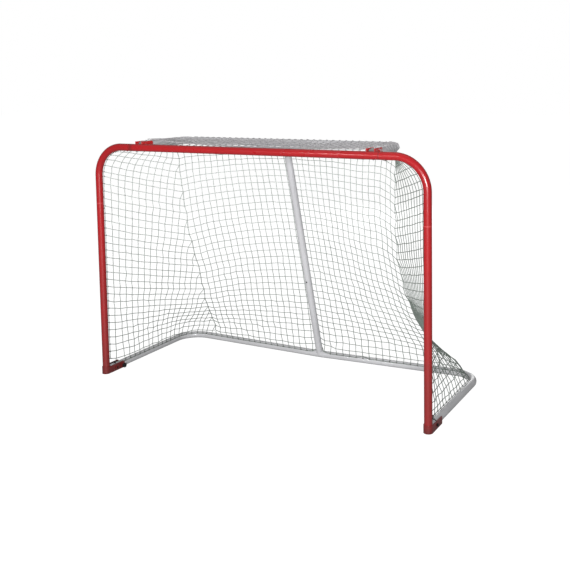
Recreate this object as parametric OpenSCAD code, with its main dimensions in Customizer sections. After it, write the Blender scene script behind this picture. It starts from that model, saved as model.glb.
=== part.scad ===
// Ice hockey goal: a knock-down frame of steel tubes with a knotted net.
// X runs across the mouth, the mouth faces -Y, Z is up and the floor is at z = 0.

/* [Mouth] */
// Clear width between the posts
mouth_w = 1830; // [1600:10:2000]
// Clear height under the crossbar
mouth_h = 1220; // [1100:10:1300]

/* [Tube] */
// Outer diameter of every tube
tube_d = 38; // [34:0.5:42]
// Wall of every tube
tube_wall = 2; // [1.5:0.25:3]
// Bend radius of the two front elbows
elbow_r = 155; // [120:5:200]
// Straight end of an elbow along the crossbar
elbow_top_leg = 74; // [65:1:100]
// Straight end of an elbow down the post
elbow_post_leg = 148; // [70:1:200]

/* [Base] */
// Depth from the post centres to the centre line of the rear tube
base_depth = 750; // [700:10:850]
// Bend radius of the rear corners of the base
base_corner_r = 130; // [100:5:160]
// Angle by which each half of the rear tube leans towards the mouth
base_lean = 2.2; // [1:0.1:3]
// Radius of the shallow bend in the middle of the rear tube
base_bend_r = 400; // [300:10:600]
// Distance from the middle to the joints of the rear tube
base_joint_x = 595; // [500:5:640]

/* [Shelf] */
// Half the distance between the two side tubes of the top shelf
shelf_half_w = 660; // [600:5:680]
// Depth from the crossbar to the rear tube of the shelf
shelf_depth = 380; // [340:5:440]
// Height of the shelf tubes above the middle of the crossbar
shelf_rise = 13; // [10:0.5:18]
// Bend radius of the shelf corners
shelf_corner_r = 120; // [100:5:140]
// Distance from the middle to the joints of the shelf's rear tube
shelf_joint_x = 300; // [200:5:350]

/* [Joints] */
// Length of the sleeves inside the tube joints
sleeve_len = 120; // [90:2:130]
// Wall of the sleeves
sleeve_wall = 1.5; // [1:0.25:2.5]
// Radial clearance of the sleeves in the tubes
sleeve_gap = 0.1; // [0.05:0.05:0.3]
// Distance of a joint screw from its seam
screw_inset = 30; // [25:1:32]
// Shank diameter of the joint screws
screw_d = 5; // [4:0.5:6]
// Height of the strut's joint above the floor
strut_joint_z = 500; // [400:10:800]

/* [Brackets] */
// Thickness of the bracket steel
plate_t = 3; // [2:0.5:4]
// Clearance between a bracket and the tube inside it
plate_gap = 0.2; // [0.1:0.05:0.5]
// Reach of the foot brackets behind the post centres
foot_reach = 122; // [120:1:150]
// Reach of the top brackets behind the crossbar centre
top_reach = 88; // [80:1:100]
// Distance of the cross bolts from the post and crossbar centres
bolt_y = 55; // [48:1:60]
// Thread diameter of the cross bolts
bolt_d = 8; // [6:1:10]

/* [Clamp knobs] */
// Distance of the clamp screws from the post centres
knob_y = 106; // [100:1:108]
// Height of the clamp screws above the floor
knob_z = 15; // [14:0.5:19]
// Diameter of a clamp knob
knob_d = 24; // [20:1:26]
// Thickness of a clamp knob
knob_h = 12; // [8:1:16]
// Number of grip flutes round a clamp knob
knob_flutes = 6; // [5:1:8]

/* [Net] */
// Thickness of the net's twine
twine = 3.2; // [2.5:0.1:4]
// Clearance between the net and what it hangs on
net_gap = 0.7; // [0.5:0.1:0.9]
// Meshes across the back panel
back_cols = 14; // [8:1:16]
// Meshes up the back panel
back_rows = 9; // [6:1:10]
// Meshes along each side panel
side_cols = 7; // [4:1:8]
// Meshes up each side panel
side_rows = 9; // [6:1:10]
// Meshes across the top panel
top_cols = 13; // [8:1:16]
// Meshes along the top panel
top_rows = 3; // [2:1:5]
// Spacing of the pegs that hold the edge of the net
peg_pitch = 40; // [36:1:60]
// Shank diameter of a net peg
peg_d = 4; // [3:0.5:5]
// Length of a net peg
peg_len = 8; // [6:0.5:10]

/* [Hidden] */

$fn = 48;
TINY = 0.01;
RED = "#c22f3a";
GREY = "#c2c2c4";
BLACK = "#202124";
ZINC = "#8d9095";
TWINE = "#d2d6d3";

tube_r = tube_d / 2;
bore_r = tube_r - tube_wall;
sleeve_r = bore_r - sleeve_gap;
post_x = mouth_w / 2 + tube_r;
bar_z = mouth_h + tube_r;
elbow_cx = post_x - elbow_r;
elbow_cz = bar_z - elbow_r;
bar_seam_x = elbow_cx - elbow_top_leg;
post_seam_z = elbow_cz - elbow_post_leg;

// Base path: a rail behind each post, a corner, then a rear tube that leans in to the middle.
base_z = tube_r;
corner_cx = post_x - base_corner_r;
corner_cy = base_depth - base_corner_r;
rear_x0 = corner_cx - base_corner_r * sin(base_lean);
rear_y0 = corner_cy + base_corner_r * cos(base_lean);
base_mid_y = rear_y0 - rear_x0 * tan(base_lean);
bend_tangent = base_bend_r * tan(base_lean);
bend_thin = 0.1; // the base tube draws in by this much where it is bent
bend_lap = 1;
rear_leg = (rear_x0 - base_joint_x) / cos(base_lean);
function rear_y(x) = rear_y0 - (rear_x0 - abs(x)) * tan(base_lean);

// Shelf path: two side tubes, two corners and a straight rear tube.
shelf_z = bar_z + shelf_rise;
shelf_cx = shelf_half_w - shelf_corner_r;
shelf_cy = shelf_depth - shelf_corner_r;

// The open front ends of the base and shelf tubes stop just behind the frame.
tube_start_y = tube_r + 4;
plug_flange = 2.5;
plug_depth = 22;

// Strut: from the middle of the base's rear tube up to the shelf's rear tube.
strut_dy = shelf_depth - base_mid_y;
strut_dz = shelf_z - base_z;
strut_len = norm([strut_dy, strut_dz]);
strut_tilt = atan2(-strut_dy, strut_dz);
strut_seam = (strut_joint_z - base_z) / cos(strut_tilt);
weld_gap = 0.1;

// Brackets and fasteners.
strap_in = tube_r + plate_gap;
strap_out = strap_in + plate_t;
foot_h = tube_d;
end_round = 12;
bolt_head = 13;
bolt_head_h = 5.3;
bolt_hole = bolt_d + 0.4;
bolt_end = 2;
nut_w = 13;
nut_h = 6.5;
screw_hole = screw_d + 0.3;
screw_head = 9;
screw_head_h = 2.6;
screw_taper = 0.7;
screw_tip = 3;
screw_len = tube_wall + sleeve_gap + sleeve_wall + screw_tip;
seat_gap = 0.05;
stud_gap = 0.1;
boss_d = 15;
boss_h = 5;
knob_face = 1;
flute_at = 0.62; // distance of the flutes from the knob's axis, in knob diameters
flute_r = 0.2; // radius of the flutes, in knob diameters
press_gap = 0.3;

peg_head = 7;
peg_head_h = 1.5;
peg_tilt = 35;
inward_turn = 45;

// The part's origin is under the middle of its box.
front_out = strap_out;
rear_out = base_depth + tube_r;
y_shift = (front_out - rear_out) / 2;

module placed() {
    translate([0, y_shift, 0]) children();
}

module both_sides() {
    children();
    mirror([1, 0, 0]) children();
}

module side(s) {
    mirror([s < 0 ? 1 : 0, 0, 0]) children();
}

// ---- tubes ----

module rod_x(x0, x1, r) {
    translate([x0, 0, 0]) rotate([0, 90, 0]) cylinder(h = x1 - x0, r = r);
}

module rod_y(y0, y1, r) {
    translate([0, y0, 0]) rotate([-90, 0, 0]) cylinder(h = y1 - y0, r = r);
}

module bend(turn, bend_r, r) {
    rotate_extrude(angle = turn, $fn = 96) translate([bend_r, 0]) circle(r = r, $fn = 48);
}

// One radial screw hole, through one wall of a tube or sleeve, pointing along +Y.
module screw_hole_y() {
    rod_y(0, tube_r + 1, screw_hole / 2);
}

module joint_screw_y() {
    translate([0, tube_r - screw_len + seat_gap, 0]) rod_y(0, screw_len, screw_d / 2);
    translate([0, tube_r + seat_gap, 0]) rotate([-90, 0, 0])
        cylinder(h = screw_head_h, d1 = screw_head, d2 = screw_head * screw_taper);
}

// Screws of the front frame's joints on the right side: under the crossbar, and behind and inside the post.
bar_screw_x = [bar_seam_x - screw_inset, bar_seam_x + screw_inset];
post_screw_z = [post_seam_z - screw_inset, post_seam_z + screw_inset];

module bar_screws_at(xs) {
    for (x = xs) translate([x, 0, bar_z]) rotate([-90, 0, 0]) children();
}

module post_screws_at(zs) {
    for (z = zs) translate([post_x, 0, z]) rotate([0, 0, inward_turn]) children();
}

module crossbar() {
    color(RED) placed() difference() {
        translate([0, 0, bar_z]) difference() {
            rod_x(-bar_seam_x, bar_seam_x, tube_r);
            rod_x(-bar_seam_x - 1, bar_seam_x + 1, bore_r);
        }
        both_sides() bar_screws_at([bar_screw_x[0]]) screw_hole_y();
    }
}

module elbow_solid(r, over) {
    translate([0, 0, bar_z]) rod_x(bar_seam_x - over, elbow_cx, r);
    translate([elbow_cx, 0, elbow_cz]) rotate([90, 0, 0]) bend(90, elbow_r, r);
    translate([post_x, 0, post_seam_z - over]) cylinder(h = elbow_post_leg + over, r = r);
}

module elbow(s) {
    color(RED) placed() side(s) difference() {
        elbow_solid(tube_r, 0);
        elbow_solid(bore_r, 1);
        bar_screws_at([bar_screw_x[1]]) screw_hole_y();
        post_screws_at([post_screw_z[1]]) screw_hole_y();
    }
}

module post(s) {
    color(RED) placed() side(s) difference() {
        translate([post_x, 0, plug_flange]) cylinder(h = post_seam_z - plug_flange, r = tube_r);
        translate([post_x, 0, plug_flange - 1]) cylinder(h = post_seam_z - plug_flange + 2, r = bore_r);
        post_screws_at([post_screw_z[0]]) screw_hole_y();
    }
}

module top_sleeve(s) {
    color(ZINC) placed() side(s) difference() {
        translate([0, 0, bar_z])
            rod_x(bar_seam_x - sleeve_len / 2, bar_seam_x + sleeve_len / 2, sleeve_r);
        translate([0, 0, bar_z])
            rod_x(bar_seam_x - sleeve_len / 2 - 1, bar_seam_x + sleeve_len / 2 + 1, sleeve_r - sleeve_wall);
        bar_screws_at(bar_screw_x) screw_hole_y();
    }
}

module post_sleeve(s) {
    color(ZINC) placed() side(s) difference() {
        translate([post_x, 0, post_seam_z - sleeve_len / 2]) cylinder(h = sleeve_len, r = sleeve_r);
        translate([post_x, 0, post_seam_z - sleeve_len / 2 - 1])
            cylinder(h = sleeve_len + 2, r = sleeve_r - sleeve_wall);
        post_screws_at(post_screw_z) screw_hole_y();
    }
}

module post_plug(s) {
    color(BLACK) placed() side(s) translate([post_x, 0, 0]) {
        cylinder(h = plug_flange, r = tube_r);
        translate([0, 0, plug_flange - TINY]) cylinder(h = plug_depth + TINY, r = sleeve_r);
    }
}

// ---- base ----

module base_side_solid(r, over) {
    translate([post_x, 0, base_z]) rod_y(tube_start_y - over, corner_cy, r);
    translate([corner_cx, corner_cy, base_z]) {
        bend(90 + base_lean, base_corner_r, r - bend_thin);
        rotate([0, 0, base_lean]) translate([0, base_corner_r, 0]) rod_x(-rear_leg - over, bend_lap, r);
    }
}

// A frame on the right half of the rear tube, at distance x from the middle, with X along the tube.
module at_rear(x) {
    translate([x, rear_y(x), base_z]) rotate([0, 0, base_lean]) children();
}

module base_middle_solid(r, over) {
    translate([0, base_mid_y + base_bend_r / cos(base_lean), base_z])
        rotate([0, 0, -90 - base_lean]) bend(2 * base_lean, base_bend_r, r - bend_thin);
    both_sides() at_rear(base_joint_x)
        rod_x(-base_joint_x / cos(base_lean) + bend_tangent - bend_lap, over, r);
}

module foot_bolt_hole() {
    translate([0, bolt_y, base_z]) rod_x(post_x - strap_out - 1, post_x + strap_out + 1, bolt_hole / 2);
}

module base_side(s) {
    color(GREY) placed() side(s) difference() {
        base_side_solid(tube_r, 0);
        base_side_solid(bore_r, 1);
        foot_bolt_hole();
        at_rear(base_joint_x) translate([screw_inset, 0, 0]) screw_hole_y();
    }
}

module base_middle() {
    color(GREY) placed() difference() {
        base_middle_solid(tube_r, 0);
        base_middle_solid(bore_r, 1);
        both_sides() at_rear(base_joint_x) translate([-screw_inset, 0, 0]) screw_hole_y();
    }
}

module base_sleeve(s) {
    color(ZINC) placed() side(s) at_rear(base_joint_x) difference() {
        rod_x(-sleeve_len / 2, sleeve_len / 2, sleeve_r);
        rod_x(-sleeve_len / 2 - 1, sleeve_len / 2 + 1, sleeve_r - sleeve_wall);
        for (x = [-screw_inset, screw_inset]) translate([x, 0, 0]) screw_hole_y();
    }
}

// ---- shelf ----

module shelf_side_solid(r, over) {
    translate([shelf_half_w, 0, shelf_z]) rod_y(tube_start_y - over, shelf_cy, r);
    translate([shelf_cx, shelf_cy, shelf_z]) bend(90, shelf_corner_r, r);
    translate([0, shelf_depth, shelf_z]) rod_x(shelf_joint_x - over, shelf_cx, r);
}

module top_bolt_hole() {
    translate([0, bolt_y, shelf_z])
        rod_x(shelf_half_w - strap_out - 1, shelf_half_w + strap_out + 1, bolt_hole / 2);
}

module at_shelf_joint() {
    translate([shelf_joint_x, shelf_depth, shelf_z]) children();
}

module shelf_side(s) {
    color(GREY) placed() side(s) difference() {
        shelf_side_solid(tube_r, 0);
        shelf_side_solid(bore_r, 1);
        top_bolt_hole();
        at_shelf_joint() translate([screw_inset, 0, 0]) rotate([180, 0, 0]) screw_hole_y();
    }
}

module shelf_middle() {
    color(GREY) placed() difference() {
        translate([0, shelf_depth, shelf_z]) difference() {
            rod_x(-shelf_joint_x, shelf_joint_x, tube_r);
            rod_x(-shelf_joint_x - 1, shelf_joint_x + 1, bore_r);
        }
        both_sides() at_shelf_joint() translate([-screw_inset, 0, 0]) rotate([180, 0, 0]) screw_hole_y();
    }
}

module shelf_sleeve(s) {
    color(ZINC) placed() side(s) at_shelf_joint() difference() {
        rod_x(-sleeve_len / 2, sleeve_len / 2, sleeve_r);
        rod_x(-sleeve_len / 2 - 1, sleeve_len / 2 + 1, sleeve_r - sleeve_wall);
        for (x = [-screw_inset, screw_inset])
            translate([x, 0, 0]) rotate([180, 0, 0]) screw_hole_y();
    }
}

// ---- strut ----

// A frame on the strut: the foot's centre is the origin and Z runs up the strut.
module on_strut() {
    translate([0, base_mid_y, base_z]) rotate([strut_tilt, 0, 0]) children();
}

module strut_part(z0, z1) {
    difference() {
        on_strut() difference() {
            translate([0, 0, z0]) cylinder(h = z1 - z0, r = tube_r);
            translate([0, 0, z0 - 1]) cylinder(h = z1 - z0 + 2, r = bore_r);
        }
        children();
    }
}

module strut_lower() {
    color(GREY) placed() strut_part(0, strut_seam) {
        base_middle_solid(tube_r + weld_gap, 0);
        on_strut() translate([0, 0, strut_seam - screw_inset]) rotate([180, 0, 0]) screw_hole_y();
    }
}

module strut_upper() {
    color(GREY) placed() strut_part(strut_seam, strut_len) {
        translate([0, shelf_depth, shelf_z]) rod_x(-tube_d, tube_d, tube_r + weld_gap);
    }
}

module strut_sleeve() {
    color(ZINC) placed() on_strut() difference() {
        translate([0, 0, strut_seam - sleeve_len / 2]) cylinder(h = sleeve_len, r = sleeve_r);
        translate([0, 0, strut_seam - sleeve_len / 2 - 1])
            cylinder(h = sleeve_len + 2, r = sleeve_r - sleeve_wall);
        translate([0, 0, strut_seam - screw_inset]) rotate([180, 0, 0]) screw_hole_y();
    }
}

module strut_screw() {
    color(BLACK) placed() on_strut()
        translate([0, 0, strut_seam - screw_inset]) rotate([180, 0, 0]) joint_screw_y();
}

// ---- foot brackets: a steel strap bent round the post, with its ends along the base rail ----

module side_view(x0, x1) {
    translate([x1, 0, 0]) rotate([0, -90, 0]) linear_extrude(x1 - x0) children();
}

// Side outline of a bracket from y0 to y1 and z0 to z1, drawn as [z, y], with its rear end rounded.
module bracket_outline(y0, y1, z0, z1) {
    translate([z0, y0]) square([z1 - z0, y1 - y0 - end_round]);
    translate([z0, y0]) square([z1 - z0 - end_round, y1 - y0]);
    translate([z1 - end_round, y1 - end_round]) circle(r = end_round);
}

module foot_bracket(s) {
    color(RED) placed() side(s) difference() {
        union() {
            intersection() {
                union() {
                    translate([post_x, 0, 0]) cylinder(h = foot_h, r = strap_out);
                    translate([post_x - strap_out, 0, 0]) cube([2 * strap_out, foot_reach, foot_h]);
                }
                side_view(post_x - strap_out - 1, post_x + strap_out + 1)
                    bracket_outline(-strap_out - 1, foot_reach, 0, foot_h);
            }
            translate([0, knob_y, knob_z])
                rod_x(post_x - strap_out - boss_h, post_x - strap_out + TINY, boss_d / 2);
        }
        translate([post_x, 0, -1]) cylinder(h = foot_h + 2, r = strap_in);
        translate([post_x - strap_in, 0, -1]) cube([2 * strap_in, foot_reach + 1, foot_h + 2]);
        foot_bolt_hole();
        translate([0, knob_y, knob_z])
            rod_x(post_x - strap_out - boss_h - 1, post_x - strap_in + 1, bolt_d / 2 + stud_gap);
    }
}

// A hexagon-headed bolt along X whose head sits on the plane x = 0 and whose shank points to -X.
module cross_bolt() {
    rotate([0, 90, 0]) cylinder(h = bolt_head_h, d = bolt_head / cos(30), $fn = 6);
    rod_x(-2 * strap_out - nut_h - bolt_end, TINY, bolt_d / 2);
}

module cross_nut() {
    difference() {
        rotate([0, 90, 0]) cylinder(h = nut_h, d = nut_w / cos(30), $fn = 6);
        rod_x(-1, nut_h + 1, bolt_d / 2 + stud_gap);
    }
}

module foot_bolts() {
    color(BLACK) placed() both_sides()
        translate([post_x + strap_out + seat_gap, bolt_y, base_z]) cross_bolt();
}

module foot_nuts() {
    color(ZINC) placed() both_sides()
        translate([post_x - strap_out - nut_h - seat_gap, bolt_y, base_z]) cross_nut();
}

// Clamp screw with a fluted knob; it presses on the side of the base rail.
knob_off = max(0, base_z - knob_z - bolt_d / 2);
stud_tip = post_x - sqrt(pow(tube_r, 2) - pow(knob_off, 2)) - press_gap;
knob_x1 = post_x - strap_out - boss_h - knob_face;

module clamp_knob(s) {
    color(BLACK) placed() side(s) translate([0, knob_y, knob_z]) {
        difference() {
            rod_x(knob_x1 - knob_h, knob_x1, knob_d / 2);
            for (i = [0 : knob_flutes - 1]) rotate([i * 360 / knob_flutes, 0, 0])
                translate([0, 0, knob_d * flute_at]) rod_x(knob_x1 - knob_h - 1, knob_x1 + 1, knob_d * flute_r);
        }
        rod_x(knob_x1 - TINY, stud_tip, bolt_d / 2);
    }
}

// ---- top brackets: an open channel on the crossbar that holds the shelf's side tube ----

module top_bracket(s) {
    color(RED) placed() side(s) difference() {
        side_view(shelf_half_w - strap_out, shelf_half_w + strap_out)
            bracket_outline(0, top_reach, shelf_z - strap_out, shelf_z + tube_r);
        translate([shelf_half_w - strap_in, -1, shelf_z - strap_in])
            cube([2 * strap_in, top_reach + 2, 2 * strap_out + tube_r]);
        translate([0, 0, bar_z])
            rod_x(shelf_half_w - strap_out - 1, shelf_half_w + strap_out + 1, tube_r + weld_gap);
        translate([shelf_half_w - strap_out - 1, -strap_out, shelf_z - strap_out - 1])
            cube([2 * strap_out + 2, strap_out + tube_r / 2, strap_out]);
        top_bolt_hole();
    }
}

module top_bolts() {
    color(BLACK) placed() both_sides()
        translate([shelf_half_w + strap_out + seat_gap, bolt_y, shelf_z]) cross_bolt();
}

module top_nuts() {
    color(ZINC) placed() both_sides()
        translate([shelf_half_w - strap_out - nut_h - seat_gap, bolt_y, shelf_z]) cross_nut();
}

// ---- small pieces ----

module joint_screws() {
    color(ZINC) placed() both_sides() {
        bar_screws_at(bar_screw_x) joint_screw_y();
        post_screws_at(post_screw_z) joint_screw_y();
        for (x = [-screw_inset, screw_inset]) {
            at_rear(base_joint_x) translate([x, 0, 0]) joint_screw_y();
            at_shelf_joint() translate([x, 0, 0]) rotate([180, 0, 0]) joint_screw_y();
        }
    }
}

module end_plug() {
    rod_y(-plug_flange, 0, tube_r);
    rod_y(-TINY, plug_depth, sleeve_r);
}

module end_plugs() {
    color(BLACK) placed() both_sides() {
        translate([post_x, tube_start_y, base_z]) end_plug();
        translate([shelf_half_w, tube_start_y, shelf_z]) end_plug();
    }
}

// A net peg that stands on a tube of radius tube_r, pointing along +Z.
module peg() {
    translate([0, 0, tube_r + seat_gap]) cylinder(h = peg_len, d = peg_d, $fn = 16);
    translate([0, 0, tube_r + seat_gap + peg_len - peg_head_h])
        cylinder(h = peg_head_h, d = peg_head, $fn = 16);
}

// Pegs on the inner side of the base, clear of the foot brackets and of the strut.
peg_clear = 12;
rail_peg_y0 = foot_reach + peg_clear;
rail_peg_n = floor((corner_cy - rail_peg_y0) / peg_pitch);
corner_peg_n = floor(base_corner_r * PI / 2 / peg_pitch);
rear_peg_n = floor((rear_x0 - tube_r - peg_clear) / peg_pitch);

module base_pegs() {
    color(BLACK) placed() both_sides() {
        for (i = [0 : rail_peg_n]) translate([post_x, rail_peg_y0 + i * peg_pitch, base_z])
            rotate([0, peg_tilt - 90, 0]) peg();
        for (i = [1 : corner_peg_n]) translate([corner_cx, corner_cy, base_z])
            rotate([0, 0, (i - 0.5) * 90 / corner_peg_n]) translate([base_corner_r, 0, 0])
                rotate([0, peg_tilt - 90, 0]) peg();
        for (i = [0 : rear_peg_n - 1]) at_rear(rear_x0 - peg_d - i * peg_pitch)
            rotate([90 - peg_tilt, 0, 0]) peg();
    }
}

// Pegs behind the posts and elbows, turned inwards.
post_peg_z0 = foot_h + peg_pitch;
post_peg_n = floor((elbow_cz - post_peg_z0) / peg_pitch);
elbow_peg_n = floor(elbow_r * PI / 2 / peg_pitch);

module post_pegs() {
    color(BLACK) placed() both_sides() {
        for (i = [0 : post_peg_n])
            if (min([for (z = post_screw_z) abs(post_peg_z0 + i * peg_pitch - z)]) > peg_head + 2)
                translate([post_x, 0, post_peg_z0 + i * peg_pitch])
                    rotate([0, 0, inward_turn]) rotate([-90, 0, 0]) peg();
        for (i = [1 : elbow_peg_n]) translate([elbow_cx, 0, elbow_cz])
            rotate([0, -(i - 0.5) * 90 / elbow_peg_n, 0]) translate([elbow_r, 0, 0])
                rotate([0, 0, inward_turn]) rotate([-90, 0, 0]) peg();
    }
}

bar_peg_n = floor((shelf_half_w - strap_out - peg_clear) / peg_pitch - 0.5);

module crossbar_pegs() {
    color(BLACK) placed() both_sides()
        for (i = [0 : bar_peg_n]) translate([(i + 0.5) * peg_pitch, 0, bar_z])
            rotate([-90, 0, 0]) peg();
}

// ---- net ----

// Flat panel in the XY plane: a trapezium from y = 0 to y = h with a border and a grid of twine.
module mesh_panel(w0, w1, h, cols, rows) {
    linear_extrude(twine, center = true) {
        difference() {
            polygon([[-w0, 0], [w0, 0], [w1, h], [-w1, h]]);
            polygon([[-w0 + twine, twine], [w0 - twine, twine],
                     [w1 - twine, h - twine], [-w1 + twine, h - twine]]);
        }
        for (j = [1 : rows - 1]) {
            half = w0 + (w1 - w0) * j / rows - twine / 2;
            translate([-half, h * j / rows - twine / 2]) square([2 * half, twine]);
        }
        for (i = [1 : cols - 1]) {
            x0 = w0 * (2 * i / cols - 1);
            x1 = w1 * (2 * i / cols - 1);
            polygon([[x0 - twine / 2, twine / 2], [x0 + twine / 2, twine / 2],
                     [x1 + twine / 2, h - twine / 2], [x1 - twine / 2, h - twine / 2]]);
        }
    }
}

// Back panel: a flat panel behind the strut, from the base's rear tube to the shelf's rear tube.
strut_off = tube_r + net_gap + twine / 2;
back_foot = (tube_d + net_gap - base_z + (twine - strut_off) * sin(strut_tilt)) / cos(strut_tilt);
back_len = strut_len + strut_off * tan(strut_tilt) * 0.5 - back_foot;
seam_foot_x = corner_cx;
seam_head_x = shelf_cx + shelf_corner_r / 10;
seam_half = 1.3; // half the distance between two panels that are laced together

module net_back() {
    color(TWINE) placed() on_strut() translate([0, strut_off, back_foot]) rotate([90, 0, 0])
        mesh_panel(seam_foot_x - seam_half, seam_head_x - seam_half, back_len, back_cols, back_rows);
}

// Top panel: a flat panel from behind the crossbar, between the side tubes, over the rear tube.
top_side_gap = 6;
top_wrap = 0.75; // how far the panel reaches over the shelf's rear tube, in tube radii
top_y0 = tube_r + net_gap + twine / 2;
top_z0 = bar_z + peg_head / 2 + net_gap + twine;
top_y1 = shelf_depth + tube_r * top_wrap;
top_z1 = shelf_z + tube_r + twine / 2 + net_gap;
top_w0 = shelf_half_w - strap_out - nut_h - top_side_gap;
top_w1 = shelf_cx + top_side_gap;
top_pitch = atan2(top_z1 - top_z0, shelf_depth - top_y0);
top_len = (top_y1 - top_y0) / cos(top_pitch);

module net_top() {
    color(TWINE) placed() translate([0, top_y0, top_z0]) rotate([top_pitch, 0, 0])
        mesh_panel(top_w0, top_w1, top_len, top_cols, top_rows);
}

// Side panels: a curved patch between the front frame, the base, the shelf and the back panel's edge.
back_lo = [seam_foot_x + seam_half, strut_point(back_foot)[0], strut_point(back_foot)[1]];
back_hi = [seam_head_x + seam_half, strut_point(back_foot + back_len)[0], strut_point(back_foot + back_len)[1]];
function strut_point(t) = [
    base_mid_y + strut_off * cos(strut_tilt) - t * sin(strut_tilt),
    base_z + strut_off * sin(strut_tilt) + t * cos(strut_tilt)
];

front_y = tube_r + net_gap;
front_foot_z = tube_d + net_gap;
side_rise = 4; // the side panel lies this much above the middle of the crossbar
side_clear = 4.5;
side_hug = 12;
head_out0 = strap_out + bolt_head_h + side_clear;
head_out1 = tube_r + twine / 2 + net_gap + twine / 2;
head_x0 = shelf_half_w + head_out0;
head_z0 = bar_z + side_rise;
front_post = elbow_cz - front_foot_z;
front_arc = elbow_r * PI / 2;
front_bar = elbow_cx - head_x0;
front_all = front_post + front_arc + front_bar;
function front_edge(v) = let (s = v * front_all, a = (s - front_post) / elbow_r * 180 / PI)
    s <= front_post ? [post_x, front_y, front_foot_z + s]
    : s <= front_post + front_arc ? [elbow_cx + elbow_r * cos(a), front_y, elbow_cz + elbow_r * sin(a) + side_rise * a / 90]
    : [elbow_cx - (s - front_post - front_arc), front_y, head_z0];
function rear_edge(v) = back_lo + v * (back_hi - back_lo);

foot_run = corner_cy - front_y;
foot_all = foot_run + base_corner_r * PI / 2;
function foot_edge(u) = let (s = u * foot_all, a = (s - foot_run) / base_corner_r * 180 / PI)
    s <= foot_run ? [post_x, front_y + s, front_foot_z + u * (back_lo[2] - front_foot_z)]
    : [corner_cx + base_corner_r * cos(a) + seam_half * a / 90,
       corner_cy + base_corner_r * sin(a) + (back_lo[1] - base_depth) * pow(a / 90, 2),
       front_foot_z + u * (back_lo[2] - front_foot_z)];

head_turn = acos((back_hi[0] - shelf_cx) / (shelf_corner_r + head_out1));
head_run = shelf_cy - front_y;
head_all = head_run + shelf_corner_r * head_turn * PI / 180;
function head_edge(u) = let (
        s = u * head_all,
        a = (s - head_run) / shelf_corner_r * 180 / PI,
        out = head_out0 + (head_out1 - head_out0) * pow(u, side_hug),
        z = head_z0 + (back_hi[2] - head_z0) * u,
        lag = back_hi[1] - shelf_cy - (shelf_corner_r + head_out1) * sin(head_turn)
    )
    s <= head_run ? [shelf_half_w + out, front_y + s, z]
    : [shelf_cx + (shelf_corner_r + out) * cos(a),
       shelf_cy + (shelf_corner_r + out) * sin(a) + lag * pow(a / head_turn, 2), z];

function patch(u, v) = (1 - u) * front_edge(v) + u * rear_edge(v)
    + (1 - v) * foot_edge(u) + v * head_edge(u)
    - (1 - u) * (1 - v) * front_edge(0) - u * (1 - v) * rear_edge(0)
    - (1 - u) * v * front_edge(1) - u * v * rear_edge(1);

function unit(p) = p / norm(p);
function patch_normal(u, v) = let (e = 0.01, a = min(u + e, 1), b = min(v + e, 1))
    unit(cross(patch(a, v) - patch(a - e, v), patch(u, b) - patch(u, b - e)));

// Lines across one direction, as shares of its length: both sides of each cord and the middle of each mesh.
function cord_lines(n, share) = [for (i = [0 : n]) each [
    i / n * (1 - share),
    i / n * (1 - share) + share,
    if (i < n) (i + 0.5) / n * (1 - share) + share / 2
]];

module side_net() {
    us = cord_lines(side_cols, twine / foot_all);
    vs = cord_lines(side_rows, twine / front_all);
    nu = len(us);
    nv = len(vs);
    points = [for (t = [-0.5, 0.5]) for (v = vs) for (u = us) patch(u, v) + patch_normal(u, v) * twine * t];
    function at(i, j, k) = k * nu * nv + j * nu + i;
    function open(i, j) = i < 0 || j < 0 || i >= nu - 1 || j >= nv - 1 || (i % 3 != 0 && j % 3 != 0);
    cells = [for (j = [0 : nv - 2]) for (i = [0 : nu - 2]) if (!open(i, j)) [i, j]];
    quads = [for (c = cells) let (i = c[0], j = c[1]) each [
        [at(i, j, 0), at(i + 1, j, 0), at(i + 1, j + 1, 0), at(i, j + 1, 0)],
        [at(i, j + 1, 1), at(i + 1, j + 1, 1), at(i + 1, j, 1), at(i, j, 1)],
        if (open(i - 1, j)) [at(i, j, 0), at(i, j + 1, 0), at(i, j + 1, 1), at(i, j, 1)],
        if (open(i + 1, j)) [at(i + 1, j, 0), at(i + 1, j, 1), at(i + 1, j + 1, 1), at(i + 1, j + 1, 0)],
        if (open(i, j - 1)) [at(i, j, 0), at(i, j, 1), at(i + 1, j, 1), at(i + 1, j, 0)],
        if (open(i, j + 1)) [at(i, j + 1, 0), at(i + 1, j + 1, 0), at(i + 1, j + 1, 1), at(i, j + 1, 1)]
    ]];
    faces = [for (q = quads) each [[q[0], q[1], q[2]], [q[0], q[2], q[3]]]];
    polyhedron(points, faces, convexity = 20);
}

module net_side(s) {
    color(TWINE) placed() side(s) side_net();
}

crossbar();
elbow(-1);  // elbow_left
elbow(1);  // elbow_right
post(-1);  // post_left
post(1);  // post_right
top_sleeve(-1);  // top_sleeve_left
top_sleeve(1);  // top_sleeve_right
post_sleeve(-1);  // post_sleeve_left
post_sleeve(1);  // post_sleeve_right
post_plug(-1);  // post_plug_left
post_plug(1);  // post_plug_right
foot_bracket(-1);  // foot_bracket_left
foot_bracket(1);  // foot_bracket_right
foot_bolts();
foot_nuts();
clamp_knob(-1);  // clamp_knob_left
clamp_knob(1);  // clamp_knob_right
base_side(-1);  // base_side_left
base_side(1);  // base_side_right
base_middle();
base_sleeve(-1);  // base_sleeve_left
base_sleeve(1);  // base_sleeve_right
strut_lower();
strut_upper();
strut_sleeve();
strut_screw();
shelf_side(-1);  // shelf_side_left
shelf_side(1);  // shelf_side_right
shelf_middle();
shelf_sleeve(-1);  // shelf_sleeve_left
shelf_sleeve(1);  // shelf_sleeve_right
top_bracket(-1);  // top_bracket_left
top_bracket(1);  // top_bracket_right
top_bolts();
top_nuts();
joint_screws();
end_plugs();
base_pegs();
post_pegs();
crossbar_pegs();
net_back();
net_side(-1);  // net_left
net_side(1);  // net_right
net_top();
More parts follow.
